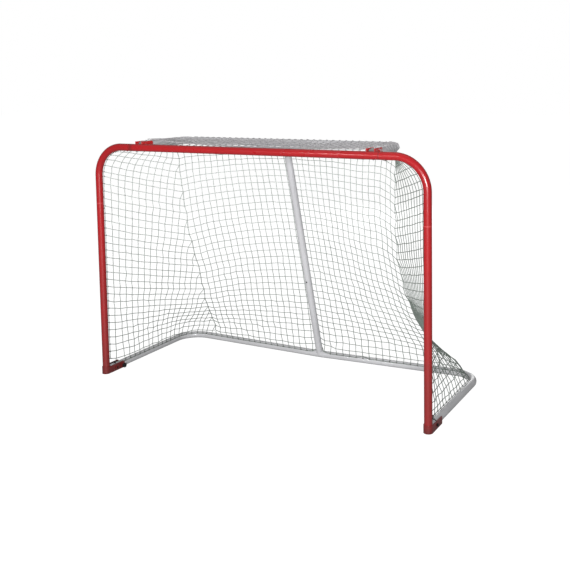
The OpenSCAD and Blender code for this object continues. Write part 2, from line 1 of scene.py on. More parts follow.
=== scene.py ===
# Ice hockey goal: steel tube frame with a knotted twine net.
# X runs across the mouth, Y from the mouth to the back, Z up from the floor, all in metres.

import math

import bpy
import bmesh
import numpy as np
from mathutils import Matrix, Vector


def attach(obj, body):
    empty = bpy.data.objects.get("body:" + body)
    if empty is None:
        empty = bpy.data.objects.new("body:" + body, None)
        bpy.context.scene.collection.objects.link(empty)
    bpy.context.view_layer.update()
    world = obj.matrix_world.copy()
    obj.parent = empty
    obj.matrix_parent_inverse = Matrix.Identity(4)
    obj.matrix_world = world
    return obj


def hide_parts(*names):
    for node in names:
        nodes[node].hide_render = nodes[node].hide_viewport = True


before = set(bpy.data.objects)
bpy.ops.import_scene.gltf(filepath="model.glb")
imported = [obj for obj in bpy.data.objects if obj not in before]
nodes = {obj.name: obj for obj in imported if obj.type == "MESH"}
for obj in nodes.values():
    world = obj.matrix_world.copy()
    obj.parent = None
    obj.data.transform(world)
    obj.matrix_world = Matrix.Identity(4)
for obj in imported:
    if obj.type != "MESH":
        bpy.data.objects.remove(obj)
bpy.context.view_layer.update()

# ---------------------------------------------------------------------------------------------
# Camera: stands to the right of the mouth at a player's eye height, looking across the goal. The
# lens is shifted, so that its axis meets the image right of and above the middle.

image_width = 570                       # in pixels, as are the two lens values
lens_length, lens_axis = 855.1, (345, 155)
camera_place = (2.264, -3.475 - 0.3734, 1.589)  # 3.475 m in front of the mouth
camera_data = bpy.data.cameras.new("camera")
camera_data.sensor_width = 36
camera_data.lens = lens_length * camera_data.sensor_width / image_width
camera_data.shift_x = (image_width / 2 - lens_axis[0]) / image_width
camera_data.shift_y = (lens_axis[1] - image_width / 2) / image_width
camera_data.dof.use_dof = False
camera = bpy.data.objects.new("camera", camera_data)
bpy.context.scene.collection.objects.link(camera)
heading, tilt, roll = math.radians(26.48), math.radians(5.18), math.radians(-0.65)
forward = Vector((-math.sin(heading) * math.cos(tilt), math.cos(heading) * math.cos(tilt),
                  -math.sin(tilt)))
side = Vector((math.cos(heading), math.sin(heading), 0))
above = side.cross(forward)
side, above = (side * math.cos(roll) + above * math.sin(roll),
               above * math.cos(roll) - side * math.sin(roll))
camera.matrix_world = Matrix([
    (side[k], above[k], -forward[k], camera_place[k]) for k in range(3)] + [(0, 0, 0, 1)])
bpy.context.scene.camera = camera

# ---------------------------------------------------------------------------------------------
# Front frame: crossbar, two bent upper corners and two posts, 38 mm steel tube with a 2 mm wall,
# finished in red baked enamel. The tubes butt over inner sleeves, with a dark hairline at the
# crossbar's right joint; the wide dark band at its left joint is a painted reflection, and the pale
# ring where the posts meet the elbows a painted glint. Pucks and sticks dull the posts low down,
# and painted shade darkens the red towards the feet.


def new_group(name, inputs, outputs):
    """An empty shader node group; inputs and outputs are (name, kind, value) and (name, kind)."""
    tree = bpy.data.node_groups.new(name, "ShaderNodeTree")
    for label, kind, value in inputs:
        socket = tree.interface.new_socket(name=label, in_out="INPUT",
                                           socket_type="NodeSocket" + kind)
        socket.default_value = value
    for label, kind in outputs:
        tree.interface.new_socket(name=label, in_out="OUTPUT", socket_type="NodeSocket" + kind)
    return tree, tree.nodes.new("NodeGroupInput"), tree.nodes.new("NodeGroupOutput")


def part(tree, kind, joins=None, **settings):
    """Adds a node, sets its settings and joins its inputs to values or to other nodes' outputs."""
    node = tree.nodes.new(kind)
    for key, value in settings.items():
        setattr(node, key, value)
    for key, value in (joins or {}).items():
        if isinstance(value, bpy.types.NodeSocket):
            tree.links.new(value, node.inputs[key])
        else:
            node.inputs[key].default_value = value
    return node


def surface_points(tree, stretch=(1, 1, 1)):
    """The place on the object, in metres, stretched for grain that runs one way."""
    place = part(tree, "ShaderNodeTexCoord").outputs["Object"]
    return part(tree, "ShaderNodeMapping", {"Vector": place, "Scale": stretch}).outputs["Vector"]


def axes(tree, kind="Object"):
    """The X, Y and Z of the place on the object."""
    place = part(tree, "ShaderNodeTexCoord").outputs[kind]
    return part(tree, "ShaderNodeSeparateXYZ", {0: place}).outputs


def noise(tree, scale, detail, stretch=(1, 1, 1)):
    """A cloudy pattern from 0 to 1."""
    return part(tree, "ShaderNodeTexNoise", {"Vector": surface_points(tree, stretch), "Scale": scale,
                                             "Detail": detail}).outputs["Fac"]


def cells(tree, scale, stretch=(1, 1, 1)):
    """A pattern of small cells, 0 in the middle of each."""
    return part(tree, "ShaderNodeTexVoronoi", {"Vector": surface_points(tree, stretch),
                                               "Scale": scale}).outputs["Distance"]


def relief(tree, shader, height, strength, depth):
    """Lets a pattern of heights stand out a little from the surface."""
    bump = part(tree, "ShaderNodeBump", {"Height": height, "Strength": strength, "Distance": depth})
    tree.links.new(bump.outputs["Normal"], shader.inputs["Normal"])


def between(tree, value, low, high, to_low=0.0, to_high=1.0):
    """A value brought from one range to another, held at its ends."""
    return part(tree, "ShaderNodeMapRange", {"Value": value, "From Min": low, "From Max": high,
                                             "To Min": to_low, "To Max": to_high}).outputs["Result"]


def times(tree, a, b):
    """Two values multiplied."""
    return part(tree, "ShaderNodeMath", {0: a, 1: b}, operation="MULTIPLY").outputs[0]


def blend_colour(tree, share, below, above_):
    """The second colour laid over the first by a share."""
    return part(tree, "ShaderNodeMix", {"Factor": share, 6: below, 7: above_},
                data_type="RGBA").outputs[2]


# Baked enamel: a slightly rippled skin, cloudy in gloss, duller where it is handled
tree, given, out = new_group(
    "enamel_skin", [("Gloss loss", "Float", 0.1), ("Ripple", "Float", 0.5)],
    [("Roughness", "Float"), ("Height", "Float")])
fine, cloud = noise(tree, 420, 2), noise(tree, 7, 4)
duller = times(tree, cloud, given.outputs["Gloss loss"])
rough = part(tree, "ShaderNodeMath", {0: duller, 1: 0.20}, operation="ADD")
tree.links.new(rough.outputs[0], out.inputs["Roughness"])
tree.links.new(times(tree, fine, given.outputs["Ripple"]), out.inputs["Height"])

# Wear: short rubs and nicks, thick low down
tree, given, out = new_group(
    "rubs_and_nicks",
    [("Amount", "Float", 0.5), ("Reach up", "Float", 0.4), ("Scale", "Float", 30)],
    [("Mask", "Float")])
streaks = part(tree, "ShaderNodeTexNoise", {
    "Vector": surface_points(tree, (1, 1, 0.35)), "Detail": 6, "Roughness": 0.7,
    "Scale": given.outputs["Scale"]})
share = part(tree, "ShaderNodeMath", {0: axes(tree)["Z"], 1: given.outputs["Reach up"]},
             operation="DIVIDE")
low = between(tree, share.outputs[0], 0.0, 1.0, 1.0, 0.15)
marks = between(tree, streaks.outputs["Fac"], 0.60, 0.72)
tree.links.new(times(tree, times(tree, marks, low), given.outputs["Amount"]), out.inputs["Mask"])

# Painted shade: a patchy darkening at the floor that fades upwards
tree, given, out = new_group("low_shade", [("Top", "Float", 0.3), ("Strength", "Float", 0.6)],
                             [("Mask", "Float")])
share = part(tree, "ShaderNodeMath", {0: axes(tree)["Z"], 1: given.outputs["Top"]},
             operation="DIVIDE")
fade = between(tree, share.outputs[0], 0.0, 1.0, 1.0, 0.0)
patchy = between(tree, noise(tree, 14, 5), 0.3, 0.7, 0.75, 1.0)
patchy_shade = times(tree, fade, patchy)
tree.links.new(times(tree, patchy_shade, given.outputs["Strength"]), out.inputs["Mask"])


def add_group(tree, name, joins=None):
    """Places a shader node group in a material and sets its inputs."""
    node = tree.nodes.new("ShaderNodeGroup")
    node.node_tree = bpy.data.node_groups[name]
    for key, value in (joins or {}).items():
        node.inputs[key].default_value = value
    return node


def finish_node(name, metallic=0.0, specular=0.5, coat=0.0, coat_roughness=0.1):
    """A new material; returns it, its tree and its Principled shader."""
    material = bpy.data.materials.new(name)
    material.use_nodes = True
    tree_ = material.node_tree
    shader = tree_.nodes["Principled BSDF"]
    shader.inputs["Metallic"].default_value = metallic
    shader.inputs["Specular IOR Level"].default_value = specular
    shader.inputs["Coat Weight"].default_value = coat
    shader.inputs["Coat Roughness"].default_value = coat_roughness
    return material, tree_, shader


def rgb(red, green, blue):
    """A colour given as the eye reads it, 0 to 255, for a shader."""
    return tuple((c / 255 / 12.92 if c <= 10.3 else ((c / 255 + 0.055) / 1.055) ** 2.4)
                 for c in (red, green, blue)) + (1.0,)


def enamel(name, colour, shade, shade_and_wear, shade_top, shade_strength, rub, joints=()):
    """Baked enamel on steel tube: colour clouds, painted shade towards the floor, rubbed marks and a
    rippled gloss, duller under the painted shade. Each joint line is an axis, its place on it, and
    the colour, half width and strength of its line."""
    material, t, shader = finish_node(name, specular=0.45, coat=0.45, coat_roughness=0.09)
    tone = blend_colour(t, between(t, noise(t, 3.5, 5), 0.35, 0.65), colour, shade)
    low_shading = add_group(t, "low_shade", {"Top": shade_top, "Strength": shade_strength})
    tone = blend_colour(t, low_shading.outputs["Mask"], tone, shade_and_wear)
    marks_ = add_group(t, "rubs_and_nicks", {"Amount": rub})
    tone = blend_colour(t, marks_.outputs["Mask"], tone, shade_and_wear)
    place = axes(t)
    for axis, at, line_colour, width, strength_ in joints:
        off = part(t, "ShaderNodeMath", {0: place[axis], 1: at}, operation="SUBTRACT")
        off = part(t, "ShaderNodeMath", {0: off.outputs[0]}, operation="ABSOLUTE")
        line_ = between(t, off.outputs[0], width * 0.3, width, strength_, 0.0)
        tone = blend_colour(t, line_, tone, line_colour)
    t.links.new(tone, shader.inputs["Base Color"])
    skin = add_group(t, "enamel_skin", {"Gloss loss": 0.16, "Ripple": 0.5})
    dulled = part(t, "ShaderNodeMath", {0: skin.outputs["Roughness"],
                                        1: times(t, low_shading.outputs["Mask"], 0.35)}, operation="ADD")
    t.links.new(dulled.outputs[0], shader.inputs["Roughness"])
    relief(t, shader, skin.outputs["Height"], 0.12, 0.0004)
    return material


def paint(names, material):
    """Gives a finish to pieces that come from the frame as they are."""
    for name in names:
        mesh = nodes[name].data
        mesh.materials.clear()
        mesh.materials.append(material)


top_joint, post_joint = 0.705, 0.936    # where the elbows meet the crossbar and the posts
# Painted shade: the red is drawn darker towards the floor.
red_enamel = enamel(
    "red_enamel", rgb(178, 25, 31), rgb(168, 21, 27), rgb(92, 36, 32), 0.80, 0.72, 0.30,
    joints=(("X", top_joint, rgb(70, 18, 20), 0.0028, 0.75),
            # A painted reflection: a wide dark band at the crossbar's left joint.
            ("X", -top_joint, rgb(98, 30, 26), 0.016, 0.5),
            # A painted glint: a pale ring where the posts meet the elbows.
            ("Z", post_joint, rgb(215, 90, 94), 0.0024, 0.8)))
paint(["crossbar", "elbow_left", "elbow_right", "post_left", "post_right"], red_enamel)

# ---------------------------------------------------------------------------------------------
# Sleeves: short tubes that plug into the open ends of two neighbouring tubes and line them up.
# Bright zinc-plated steel with drawing lines, hidden in the joints but for the hairline gap.


def plated(name, colour, roughness, brushed):
    """Zinc plating: a dull bright metal with faint drawing lines and cloudy spangle."""
    material, t, shader = finish_node(name, metallic=1.0)
    lines, spangle = noise(t, brushed, 3, (1, 1, 8)), cells(t, 160)
    dark = tuple(c * 0.72 for c in colour[:3]) + (1.0,)
    tone = blend_colour(t, between(t, spangle, 0.0, 0.8), dark, colour)
    t.links.new(tone, shader.inputs["Base Color"])
    t.links.new(between(t, lines, 0.3, 0.7, roughness - 0.08, roughness + 0.10),
                shader.inputs["Roughness"])
    relief(t, shader, lines, 0.08, 0.0003)
    return material


zinc_plate = plated("zinc_plate", rgb(178, 182, 186), 0.38, 300)
paint([n for n in nodes if "sleeve" in n], zinc_plate)

# ---------------------------------------------------------------------------------------------
# Plugs: moulded plastic, black in the posts' feet, where they stand on the ice, and grey in the
# open ends of the base and shelf tubes. A fine moulded grain, scuffed paler on the corners.


def moulded(name, colour, scuffed, roughness, grain):
    """Moulded plastic: fine sand grain, a little sheen and pale scuffs."""
    material, t, shader = finish_node(name, specular=0.4)
    sand = noise(t, 900, 2)
    scuffs = add_group(t, "rubs_and_nicks", {"Amount": 0.6, "Scale": 120, "Reach up": 3.0})
    tone = blend_colour(t, scuffs.outputs["Mask"], colour, scuffed)
    t.links.new(tone, shader.inputs["Base Color"])
    t.links.new(between(t, sand, 0.3, 0.7, roughness - 0.06, roughness + 0.08),
                shader.inputs["Roughness"])
    relief(t, shader, sand, grain, 0.0003)
    return material


black_plastic = moulded("black_plastic", rgb(30, 31, 33), rgb(84, 84, 86), 0.50, 0.25)
grey_plastic = moulded("grey_plastic", rgb(112, 112, 110), rgb(150, 150, 148), 0.5, 0.25)
paint(["post_plug_left", "post_plug_right"], black_plastic)
paint(["end_plugs"], grey_plastic)

# ---------------------------------------------------------------------------------------------
# Base: grey enamelled tube on the floor, two rails whose rear corners are bent in one piece with
# the ends of the rear tube, and a middle tube with a shallow bend. Painted shade darkens the paint a
# little right at the floor.

grey_enamel = enamel("grey_enamel", rgb(210, 210, 213), rgb(198, 198, 201), rgb(150, 148, 144),
                     0.08, 0.15, 0.25)
paint(["base_side_left", "base_side_right", "base_middle"], grey_enamel)

# ---------------------------------------------------------------------------------------------
# Foot brackets: 3 mm steel straps bent round the posts and welded, red like them, that clasp the
# ends of the rails. A bolt with a nut goes through each bracket and its rail.

# Painted shade darkens the brackets' red strongly towards the floor.
bracket_enamel = enamel("bracket_enamel", rgb(156, 27, 30), rgb(140, 25, 28), rgb(72, 34, 31),
                        0.10, 0.85, 0.5)
paint(["foot_bracket_left", "foot_bracket_right"], bracket_enamel)


def blackened(name, colour, worn, roughness):
    """Black oxide on steel: nearly black, oily, with bright metal showing on rubbed corners."""
    material, t, shader = finish_node(name, metallic=0.75)
    grain_ = noise(t, 260, 4)
    rubbed = add_group(t, "rubs_and_nicks", {"Amount": 0.8, "Scale": 200, "Reach up": 4.0})
    tone = blend_colour(t, rubbed.outputs["Mask"], colour, worn)
    t.links.new(tone, shader.inputs["Base Color"])
    t.links.new(between(t, grain_, 0.3, 0.7, roughness - 0.08, roughness + 0.1),
                shader.inputs["Roughness"])
    relief(t, shader, grain_, 0.15, 0.0003)
    return material


black_steel = blackened("black_steel", rgb(36, 35, 36), rgb(110, 108, 106), 0.42)
paint(["foot_bolts"], black_steel)
paint(["foot_nuts"], bracket_enamel)

# ---------------------------------------------------------------------------------------------
# Clamp knobs: fluted black plastic moulded round a steel screw, one in each foot bracket's inner
# cheek. Turned by hand, the screw pinches the rail so that the foot doesn't rattle.

knob_plastic = moulded("knob_plastic", rgb(27, 27, 29), rgb(78, 77, 76), 0.46, 0.3)
paint(["clamp_knob_left", "clamp_knob_right"], knob_plastic)

# ---------------------------------------------------------------------------------------------
# Rear strut: two grey tubes, the lower one welded to the base and the upper one to the shelf. They
# meet over a sleeve with one screw, so that the goal comes apart, and carry the shelf's rear.

paint(["strut_lower", "strut_upper"], grey_enamel)
paint(["strut_screw"], black_steel)

# ---------------------------------------------------------------------------------------------
# Top shelf: a grey tube bent to a shallow U behind the crossbar, in three lengths over sleeves.
# The net's upper edge is laced round it. Two small red channels on the crossbar hold its ends.

paint(["shelf_side_left", "shelf_side_right", "shelf_middle"], grey_enamel)
bright_bracket = enamel("bright_bracket", rgb(212, 34, 36), rgb(200, 28, 32), rgb(120, 40, 40),
                        0.05, 0.0, 0.3)
paint(["top_bracket_left", "top_bracket_right"], bright_bracket)
paint(["top_bolts", "top_nuts"], bright_bracket)

# ---------------------------------------------------------------------------------------------
# Joint screws: sixteen self-tapping pan heads in zinc-plated steel, one each side of the eight
# joints in the mouth, base and shelf, driven through the tube into the sleeve inside.

paint(["joint_screws"], zinc_plate)

# ---------------------------------------------------------------------------------------------
# Net pegs: small plastic studs, black along the inside of the posts and the rear of the crossbar,
# grey on the base, pressed into holes 40 mm apart. Each holds one edge mesh of the net.

paint(["post_pegs", "crossbar_pegs"], black_plastic)
paint(["base_pegs"], grey_plastic)

# ---------------------------------------------------------------------------------------------
# The net, its knots. Four panels of knotted polyester twine in square meshes of about 40 mm:
# back, two sides and top. Their edge meshes are hooked over pegs on the posts, base and
# crossbar and laced round the shelf, and the weight of the twine pulls the slack downwards.

twine_r = 0.00185
tube_r = 0.019
mouth_y = -0.3734                       # the plane through the posts' middles
post_x, bar_z = 0.934, 1.239
elbow = (0.779, 1.084, 0.155)           # middle x, middle z, radius of the elbow's bend
rail_z, corner = 0.019, (0.804, 0.620, 0.130)   # base: height, middle and radius of the corner
lean = math.radians(2.2)                # slope of the base's rear tube towards the mouth
shelf_z, shelf_x, bend = 1.252, 0.660, (0.540, 0.260, 0.120)
shelf_depth = 0.380
rows, back_columns, foot_columns, head_columns = 34, 36, 22, 9
peg_pitch = 0.040
lace_gap = 0.0005                       # air between the shelf's tube and the cord round it
lace_start = 0.045                      # the lacing begins this far behind the posts
rail_fade = 0.165                       # share of its height in which a side leaves the rail

# Course of the right seam between side and back, from the floor up: x, y behind the posts, z
seam_course = np.array([
    (0.715, 0.7290, 0.0325), (0.722, 0.727, 0.060), (0.722, 0.718, 0.100), (0.717, 0.696, 0.150),
    (0.704, 0.650, 0.200), (0.673, 0.566, 0.300), (0.652, 0.507, 0.400), (0.638, 0.459, 0.500),
    (0.630, 0.416, 0.600), (0.629, 0.379, 0.700), (0.630, 0.353, 0.800),
    (0.633, 0.338, 0.900), (0.639, 0.327, 1.000), (0.644, 0.319, 1.100),
    (0.651, 0.313, 1.200), (0.657, 0.311, 1.250), (0.664, 0.310, 1.2685)])

loosen = np.random.default_rng(41)      # small differences between meshes, the same on each run
knot_at, knot_held, bars = [], [], []
panels = {"net_back": [], "net_left": [], "net_right": [], "net_top": []}


def tie_knot(place, held=False):
    """Adds a knot of the net and returns its number; a held knot doesn't move."""
    knot_at.append(np.array(place, float))
    knot_held.append(held)
    return len(knot_at) - 1


def net_bar(panel, way, a, b, slack=1.002, kink=0.0012):
    """A cord between two knots, with a loose point at its middle so that it can sag or kink."""
    middle = tie_knot((knot_at[a] + knot_at[b]) / 2 + loosen.normal(0, kink, 3))
    length = np.linalg.norm(knot_at[a] - knot_at[b]) * slack + abs(loosen.normal(0, 0.0002))
    bars.append((way, a, middle, b, length))
    panels[panel].append((way, a, middle, b))


def spread(points, share):
    """The place at a share of the way along a row of points, counted by points, not length."""
    s = np.arange(len(points))
    return np.array([np.interp(share * (len(points) - 1), s, points[:, k]) for k in range(3)])


def filled(u, v, front, back, foot, head, corners):
    """A net's first place between its four edges, before it hangs."""
    flat = (corners[0] * (1 - u) * (1 - v) + corners[1] * u * (1 - v)
            + corners[2] * (1 - u) * v + corners[3] * u * v)
    return front * (1 - u) + back * u + foot * (1 - v) + head * v - flat


# Heights of the rows: along the seam they crowd together towards the floor, where the net is
# slack, and in the middle of the back they stay higher
seam_height = np.interp(range(rows + 1), [0, 3, 5, 8, 11, 14, 18, 22, 26, rows],
                        [0.0325, 0.133, 0.185, 0.273, 0.374, 0.485, 0.643, 0.806, 0.966, 1.2685])
middle_height = np.interp(
    range(rows + 1), [0, 4, 6, 8, 12, 16, 20, 24, 27, 29, 31, rows],
    [0.043, 0.200, 0.264, 0.335, 0.489, 0.650, 0.812, 0.962, 1.072, 1.138, 1.192, 1.274])
seam_places = np.stack(
    [np.interp(seam_height, seam_course[:, 2], seam_course[:, k]) for k in range(3)], 1)
seam_places[:, 1] += mouth_y
for j in range(2, rows - 1):
    seam_places[j] += loosen.normal(0, (0.0025, 0.0025, 0.0015)) + [0.002 * (-1) ** (j // 2), 0, 0]

# Pegs of the front edge: on the post's inner rear side, round the elbow
post_hook = (tube_r + 0.004) * math.sqrt(0.5)   # from the tube's middle to a cord on its pegs
first_peg_z = 0.078
front_pegs = [(post_x - 0.016, mouth_y + 0.020, 0.046)]
for j in range(26):
    front_pegs.append((post_x - post_hook, mouth_y + post_hook, first_peg_z + peg_pitch * j))
for j in range(6):
    a = math.radians(7.5 + 15 * j)
    r = elbow[2] - post_hook
    front_pegs.append((elbow[0] + r * math.cos(a), mouth_y + post_hook, elbow[1] + r * math.sin(a)))
front_pegs.append((0.755, mouth_y + tube_r * 0.9 + twine_r, bar_z + 0.008))
front_pegs.append((0.712, mouth_y + tube_r * 0.7 + twine_r, bar_z + 0.014))
front_pegs = np.array(front_pegs)

# Pegs of the lower edge: the corner tied down at the bracket, then rail, corner and rear tube
peg_tilt, base_hook = math.radians(35), tube_r + 0.0045
inward, upward = base_hook * math.cos(peg_tilt), base_hook * math.sin(peg_tilt)
foot_pegs = [tuple(front_pegs[0]), (post_x - 0.006, mouth_y + 0.0645, 0.0425)]
for i in range(13):
    foot_pegs.append((post_x - inward, mouth_y + 0.134 + peg_pitch * i, rail_z + upward))
for i in range(5):
    a = math.radians(9 + 18 * i)
    foot_pegs.append((corner[0] + (corner[2] - inward) * math.cos(a),
                      mouth_y + corner[1] + (corner[2] - inward) * math.sin(a), rail_z + upward))
rear_end = np.array([corner[0] - corner[2] * math.sin(lean),
                     mouth_y + corner[1] + corner[2] * math.cos(lean)])


def rear_peg(i):
    """The i-th peg of the rear tube, counted from the corner."""
    x = rear_end[0] - 0.004 - peg_pitch * i
    y = rear_end[1] - (rear_end[0] - x) * math.tan(lean)
    return (x + inward * math.sin(lean), y - inward * math.cos(lean), rail_z + upward)


foot_pegs = np.array(foot_pegs + [rear_peg(0), rear_peg(1), rear_peg(2)])


def shelf_lacing(along, turn):
    """A place on the shelf's tube, `along` metres from its front end and `turn` up from outside."""
    cord_off = tube_r + twine_r + lace_gap
    out, up = cord_off * math.cos(turn), cord_off * math.sin(turn)
    straight = bend[1] - lace_start
    if along <= straight:
        return np.array([shelf_x + out, mouth_y + lace_start + along, shelf_z + up])
    a = (along - straight) / (bend[2] + out)
    if a <= math.pi / 2:
        return np.array([bend[0] + (bend[2] + out) * math.cos(a),
                         mouth_y + bend[1] + (bend[2] + out) * math.sin(a), shelf_z + up])
    past = (a - math.pi / 2) * (bend[2] + out)
    return np.array([bend[0] - past, mouth_y + bend[1] + bend[2] + out, shelf_z + up])


side_turn = math.radians(50)
outer_bend = bend[2] + (tube_r + twine_r + lace_gap) * math.cos(side_turn)
seam_along = bend[1] - lace_start + outer_bend * math.radians(22)
head_ties = np.array([tuple(front_pegs[-1])]
                     + [tuple(shelf_lacing(seam_along * i / 8, side_turn)) for i in range(9)])
seam_places[-1] = head_ties[-1]
seam_places[0] = foot_pegs[-1]

# Side panels: rows run straight from the post to the seam, lower down they follow the rail and
# the corner, and a column ends wherever the seam cuts it
side_count = np.interp(
    range(rows + 1), [0, 3, 5, 8, 11, 14, 16, 18, 20, 23, 26, 30, rows],
    [foot_columns, 20.8, 19.6, 17.9, 16.5, 15.4, 14.7, 13.8, 12.8, 12.0, 11.4, 10.4, head_columns])


def off_straight(points, share):
    """How far a row of points stands off the straight line between its ends, at a share of it."""
    return spread(points, share) - points[0] * (1 - share) - points[-1] * share


seam_knots = {}
for hand, panel in ((-1, "net_left"), (1, "net_right")):
    mirror = np.array([hand, 1, 1])
    seam_knots[hand] = [tie_knot(p * mirror, True) for p in seam_places]
    grid = []
    for j in range(rows + 1):
        line, v = [], j / rows
        for i in range(int(math.ceil(side_count[j] - 0.5))):
            u = i / side_count[j]
            place = front_pegs[j] * (1 - u) + seam_places[j] * u
            place = place + off_straight(foot_pegs, u) * math.exp(-(v / rail_fade) ** 1.6)
            place = place + off_straight(head_ties, u) * v ** 12
            if 0 < j < rows and i > 0:
                place = place + loosen.normal(0, 0.0012, 3)
            line.append(tie_knot(place * mirror, i == 0 or j in (0, rows)))
        grid.append(line + [seam_knots[hand][j]])
    for j in range(1, rows):
        for i in range(len(grid[j]) - 1):
            net_bar(panel, "row", grid[j][i], grid[j][i + 1], 0.992, 0.0008)
        if j > 1:
            net_bar(panel, "edge", grid[j - 1][0], grid[j][0], 1.03)
    for i in range(1, len(grid[0]) - 1):
        net_bar(panel, "edge", grid[0][i], grid[0][i + 1], 1.04)
    for j in range(rows):
        here, next_up = len(grid[j]), len(grid[j + 1])
        for i in range(1, max(here, next_up)):
            a, b = grid[j][min(i, here - 1)], grid[j + 1][min(i, next_up - 1)]
            if not (i >= here - 1 and i >= next_up - 1):
                net_bar(panel, "column", a, b, 1.006, 0.0008)

# Back panel: a plain rectangle of netting between the two seams. It lies on the rear strut from
# behind, and its lowest meshes hang loose where the strut's foot leaves no room for pegs.
half_back = back_columns // 2
strut_foot, strut_head = rear_end[1] - rear_end[0] * math.tan(lean), mouth_y + shelf_depth
unpegged = (-2, -1, 0, 1, 2, 7)


def back_place(across, row):
    """A place of the back from the strut (across 0) to a seam (-1 or 1), before it is pegged."""
    up = (middle_height[row] - rail_z) / (shelf_z - rail_z)
    behind_strut = strut_foot * (1 - up) + strut_head * up + tube_r + twine_r + 0.0015
    seam, w = seam_places[row], abs(across)
    return np.array([across * seam[0], behind_strut + (seam[1] - behind_strut) * w ** 1.35,
                     middle_height[row] + (seam[2] - middle_height[row]) * w ** 2.4])


foot_row, head_row = [], []
outer_end = seam_along + outer_bend * math.radians(68) + bend[0]
for c in range(-half_back, half_back + 1):
    if c != 0:
        x, y, z = rear_peg(half_back + 2 - abs(c))  # the seam is on peg 2
        foot_row.append((math.copysign(x, c), y, z))
    else:
        foot_row.append((0, strut_foot + tube_r + twine_r + 0.001, 0.043))
    s = outer_end - abs(c) / half_back * (outer_end - seam_along)
    p = shelf_lacing(s, side_turn)
    head_row.append((math.copysign(p[0], c), p[1], p[2]))
foot_row, head_row = np.array(foot_row), np.array(head_row)
back_grid = []
for j in range(rows + 1):
    line, v = [seam_knots[-1][j]], j / rows
    for c in range(1, back_columns):
        across = c / half_back - 1
        place = back_place(across, j)
        for edge_row, end_row, share in ((foot_row, 0, (1 - v) ** 8), (head_row, rows, v ** 8)):
            place = place + (edge_row[c] - back_place(across, end_row)) * share
        if 0 < j < rows:
            place = place + loosen.normal(0, 0.0010, 3)
        line.append(tie_knot(place, (j == 0 and c - half_back not in unpegged) or j == rows))
    back_grid.append(line + [seam_knots[1][j]])
for j in range(rows):
    for c in range(back_columns):
        loose = c - half_back in unpegged or c + 1 - half_back in unpegged
        slack = 1.002 if j else 1.12 if loose else 1.04
        net_bar("net_back", "row", back_grid[j][c], back_grid[j][c + 1], slack)
for j in range(rows):
    for c in range(1, back_columns):
        net_bar("net_back", "column", back_grid[j][c], back_grid[j + 1][c])
for hand in (-1, 1):
    for j in range(rows):
        net_bar("net_back", "seam", seam_knots[hand][j], seam_knots[hand][j + 1])

# Top panel: stretched between the crossbar's pegs and the three sides of the shelf
top_columns, top_rows, top_turn = 35, 9, math.radians(58)
top_bend = bend[2] + (tube_r + twine_r + lace_gap) * math.cos(top_turn)
top_side = bend[1] - lace_start + top_bend * math.pi / 4
top_end = bend[1] - lace_start + top_bend * math.pi / 2 + bend[0]
peg_x = [-0.745, -0.700] + [(k + 0.5) * peg_pitch for k in range(-16, 16)] + [0.700, 0.745]
near = np.array([0.745, mouth_y + tube_r * 0.8, bar_z + 0.013])
far = shelf_lacing(top_side, top_turn)
top_grid = []
for m in range(top_rows + 1):
    v, line = m / top_rows, []
    edge = shelf_lacing(v * top_side, top_turn)
    for c in range(top_columns + 1):
        u = c / top_columns
        front_peg = np.array([peg_x[c], mouth_y + tube_r + 0.004, bar_z + 0.002])
        s = top_end - abs(2 * u - 1) * (top_end - top_side)
        p = shelf_lacing(s, top_turn)
        rear = np.array([math.copysign(p[0], u - 0.5), p[1], p[2]])
        left, right = edge * [-1, 1, 1], edge
        if m == 0:
            place = front_peg if 0 < c < top_columns else near * [math.copysign(1, u - 0.5), 1, 1]
        elif m == top_rows:
            place = rear
        elif c in (0, top_columns):
            place = left if c == 0 else right
        else:
            place = filled(u, v, left, right, front_peg, rear,
                           (near * [-1, 1, 1], near, far * [-1, 1, 1], far))
        line.append(tie_knot(place, m in (0, top_rows) or c in (0, top_columns)))
    top_grid.append(line)
for m in range(1, top_rows):
    for c in range(top_columns):
        net_bar("net_top", "row", top_grid[m][c], top_grid[m][c + 1], 1.01)
for m in range(top_rows):
    for c in range(1, top_columns):
        net_bar("net_top", "column", top_grid[m][c], top_grid[m + 1][c], 1.01)

# Middle lines of the tubes that the net may lie on but not pass through
quarter = np.linspace(0, math.pi / 2, 13)
mouth_line = [(post_x, mouth_y, 0)] + [
    (elbow[0] + elbow[2] * math.cos(a), mouth_y, elbow[1] + elbow[2] * math.sin(a))
    for a in quarter] + [(0, mouth_y, bar_z)]
turn = quarter * (1 + lean / (math.pi / 2))
base_line = [(post_x, mouth_y + 0.02, rail_z)] + [
    (corner[0] + corner[2] * math.cos(a), mouth_y + corner[1] + corner[2] * math.sin(a), rail_z)
    for a in turn] + [(0, strut_foot, rail_z)]
shelf_line = [(shelf_x, mouth_y + 0.02, shelf_z)] + [
    (bend[0] + bend[2] * math.cos(a), mouth_y + bend[1] + bend[2] * math.sin(a), shelf_z)
    for a in quarter] + [(0, strut_head, shelf_z)]
tube_parts = [((0, strut_foot, rail_z), (0, strut_head, shelf_z))]
for course in (mouth_line, base_line, shelf_line):
    for a, b in zip(course[:-1], course[1:]):
        tube_parts += [(a, b), ((-a[0], a[1], a[2]), (-b[0], b[1], b[2]))]
tube_sizes = [tube_r] * len(tube_parts)
channel_r = 0.0265                      # of a round rod that would fill the shelf's channel
for hand in (-1, 1):
    tube_parts.append(((hand * shelf_x, mouth_y + 0.024, shelf_z),
                       (hand * shelf_x, mouth_y + 0.088, shelf_z)))
    tube_sizes.append(channel_r)
tube_parts = np.array(tube_parts, float)


def push_out_of_tubes(places):
    """Moves each point that is inside a tube to just outside it, with 0.3 mm of air."""
    for (a, b), size in zip(tube_parts, tube_sizes):
        d = b - a
        share = np.clip((places - a) @ d / (d @ d), 0, 1)
        off = places - a - share[:, None] * d
        distance = np.sqrt((off * off).sum(1))
        clear = size + twine_r + 0.0003
        inside = distance < clear
        places[inside] += off[inside] * (clear / np.maximum(distance[inside], 1e-9) - 1)[:, None]


